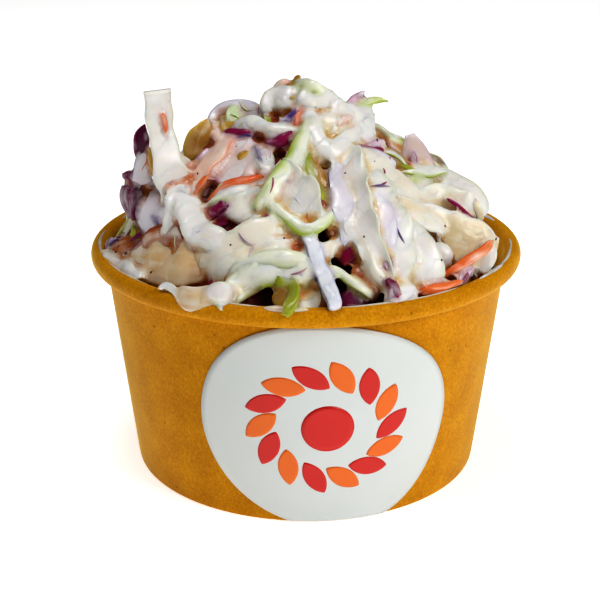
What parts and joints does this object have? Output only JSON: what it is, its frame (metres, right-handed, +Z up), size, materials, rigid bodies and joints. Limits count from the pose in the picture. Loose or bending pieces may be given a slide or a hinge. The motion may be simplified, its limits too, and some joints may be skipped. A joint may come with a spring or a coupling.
{
  "type": "cup of slaw",
  "caption": "Round paper salad cup with a rolled rim and a round label, heaped high with creamy shredded cabbage and carrot slaw.",
  "frame": {"origin": "centre of the cup's foot, on the surface that it stands on", "axes": "+Z up along the cup's axis; -Y is the front, where the label is; +X is to the right seen from the front"},
  "size_m": [0.115, 0.115, 0.1044],
  "materials": {
    "kraft_board": "brown kraft board, uncoated outside, fine fibres",
    "board_lining": "kraft board with a clear film lining",
    "label_paper": "smooth coated paper with printed fields of red and orange",
    "slaw": "moist creamy dressing over cut cabbage and carrot",
    "dressing": "thin creamy dressing",
    "white_cabbage": "moist, slightly see-through leaf",
    "red_cabbage": "moist white flesh with a purple skin",
    "carrot": "moist orange root",
    "pepper": "ground specks"
  },
  "bodies": {
    "root": {"cup_wall": "kraft_board", "cup_base": "board_lining", "label": "label_paper", "slaw": "slaw"}
  },
  "joints": []
}
